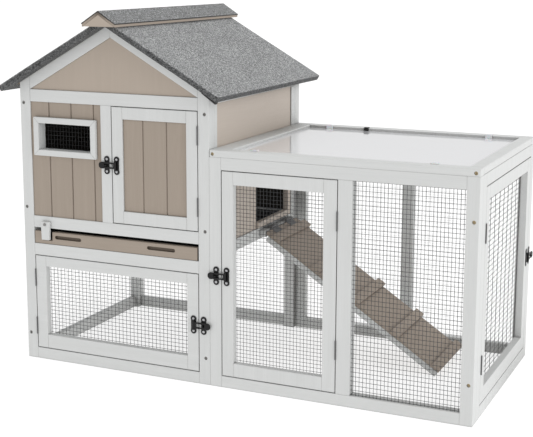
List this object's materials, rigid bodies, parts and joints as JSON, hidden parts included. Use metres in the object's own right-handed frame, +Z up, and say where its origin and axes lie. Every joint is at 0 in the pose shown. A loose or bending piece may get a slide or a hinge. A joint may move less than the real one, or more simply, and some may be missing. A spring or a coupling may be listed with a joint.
{
  "type": "rabbit hutch",
  "caption": "Gabled wooden rabbit house with pull-out tray and mesh doors, joined to a lidded mesh run with an inside ramp.",
  "frame": {"origin": "centre of the bounding box's base, on the ground", "axes": "+X along the front from the house to the run, +Y from front to back, +Z up"},
  "size_m": [1.2542, 0.682, 0.9159],
  "materials": {
    "white_wood": "white-washed fir, faint grain, satin",
    "tan_wood": "taupe stained boards, faint grain, matt",
    "roof_board": "bare softwood board under the felt",
    "roof_felt": "grey mineral roofing felt with light and dark granules",
    "wire_mesh": "dark coated welded wire",
    "tray_metal": "galvanised sheet",
    "black_hardware": "black painted steel, semi-gloss",
    "screw_steel": "dull yellow-zinc steel",
    "clear_plastic": "milky clear plastic",
    "roof_sheet": "milky translucent sheet, glossy"
  },
  "bodies": {
    "root": {"back_panel": "tan_wood", "frame_screws": "screw_steel", "front_board_panel": "tan_wood", "gable_panels": "tan_wood", "gable_rakes": "white_wood", "hinge_fixed_leaves": "black_hardware", "house_back_frame": "white_wood", "house_front_frame": "white_wood", "house_left_frame": "white_wood", "house_mesh": "wire_mesh", "house_posts_back": "white_wood", "house_posts_front": "white_wood", "house_right_frame": "white_wood", "latch_keepers": "black_hardware", "lid_clips": "clear_plastic", "lid_frame": "white_wood", "lid_sheet": "roof_sheet", "lid_stop": "black_hardware", "ridge_cap_boards": "tan_wood", "ridge_cap_ends": "tan_wood", "ridge_cap_felt": "roof_felt", "roof_boards": "roof_board", "roof_felt": "roof_felt", "run_back_frame": "white_wood", "run_end_frame": "white_wood", "run_front_frame": "white_wood", "run_mesh": "wire_mesh", "run_posts_left": "white_wood", "run_posts_right": "white_wood", "side_panel_left": "tan_wood", "side_panel_right": "tan_wood", "window_mesh": "wire_mesh", "window_trim": "white_wood"},
    "upper_door": {"upper_door_frame": "white_wood", "upper_door_panel": "tan_wood", "upper_door_hinge_leaves": "black_hardware", "upper_latch_plate": "black_hardware"},
    "upper_arm": {"upper_latch_arm": "black_hardware"},
    "lower_door": {"lower_door_frame": "white_wood", "lower_door_mesh": "wire_mesh", "lower_door_hinge_leaves": "black_hardware", "lower_latch_plate": "black_hardware"},
    "lower_arm": {"lower_latch_arm": "black_hardware"},
    "run_door": {"run_door_frame": "white_wood", "run_door_mesh": "wire_mesh", "run_door_hinge_leaves": "black_hardware", "run_latch_plate": "black_hardware"},
    "run_arm": {"run_latch_arm": "black_hardware"},
    "end_door": {"end_door_frame": "white_wood", "end_door_mesh": "wire_mesh", "end_door_hinge_leaves": "black_hardware", "end_latch_plate": "black_hardware"},
    "end_arm": {"end_latch_arm": "black_hardware"},
    "tray": {"tray_front": "tan_wood", "tray_pan": "tray_metal"},
    "tray_button": {"turn_button": "white_wood"},
    "ramp": {"ramp_board": "tan_wood", "ramp_rails": "white_wood", "ramp_cleats": "tan_wood", "ramp_hinge_leaves": "black_hardware"}
  },
  "joints": [
    {"name": "upper_door_hinge", "type": "hinge", "parent": "root", "child": "upper_door", "pos_m": [-0.07442, -0.2896, 0.533], "axis": [0, 0, 1], "range_deg": [0, 110]},
    {"name": "upper_latch_pivot", "type": "hinge", "parent": "upper_door", "child": "upper_arm", "pos_m": [-0.30222, -0.2932, 0.533], "axis": [0, 0, 1], "range_deg": [0, 120]},
    {"name": "lower_door_hinge", "type": "hinge", "parent": "root", "child": "lower_door", "pos_m": [-0.55242, -0.2896, 0.155], "axis": [0, 0, -1], "range_deg": [0, 110]},
    {"name": "lower_latch_pivot", "type": "hinge", "parent": "lower_door", "child": "lower_arm", "pos_m": [-0.08642, -0.2932, 0.151], "axis": [0, 0, -1], "range_deg": [0, 120]},
    {"name": "run_door_hinge", "type": "hinge", "parent": "root", "child": "run_door", "pos_m": [0.28548, -0.2896, 0.286], "axis": [0, 0, 1], "range_deg": [0, 110]},
    {"name": "run_latch_pivot", "type": "hinge", "parent": "run_door", "child": "run_arm", "pos_m": [0.00058, -0.2932, 0.282], "axis": [0, 0, 1], "range_deg": [0, 120]},
    {"name": "end_door_hinge", "type": "hinge", "parent": "root", "child": "end_door", "pos_m": [0.61818, -0.225, 0.286], "axis": [0, 0, -1], "range_deg": [0, 110]},
    {"name": "end_latch_pivot", "type": "hinge", "parent": "end_door", "child": "end_arm", "pos_m": [0.62178, 0.227, 0.279], "axis": [0, 0, -1], "range_deg": [0, 120]},
    {"name": "tray_slide", "type": "slide", "parent": "root", "child": "tray", "axis": [0, -1, 0], "range_m": [0, 0.4]},
    {"name": "tray_button_turn", "type": "hinge", "parent": "root", "child": "tray_button", "pos_m": [-0.51342, -0.2933, 0.366], "axis": [0, 1, 0], "range_deg": [-90, 90]},
    {"name": "ramp_hinge", "type": "hinge", "parent": "root", "child": "ramp", "pos_m": [-0.02242, 0.102, 0.338], "axis": [0, -1, 0], "range_deg": [0, 52]}
  ]
}
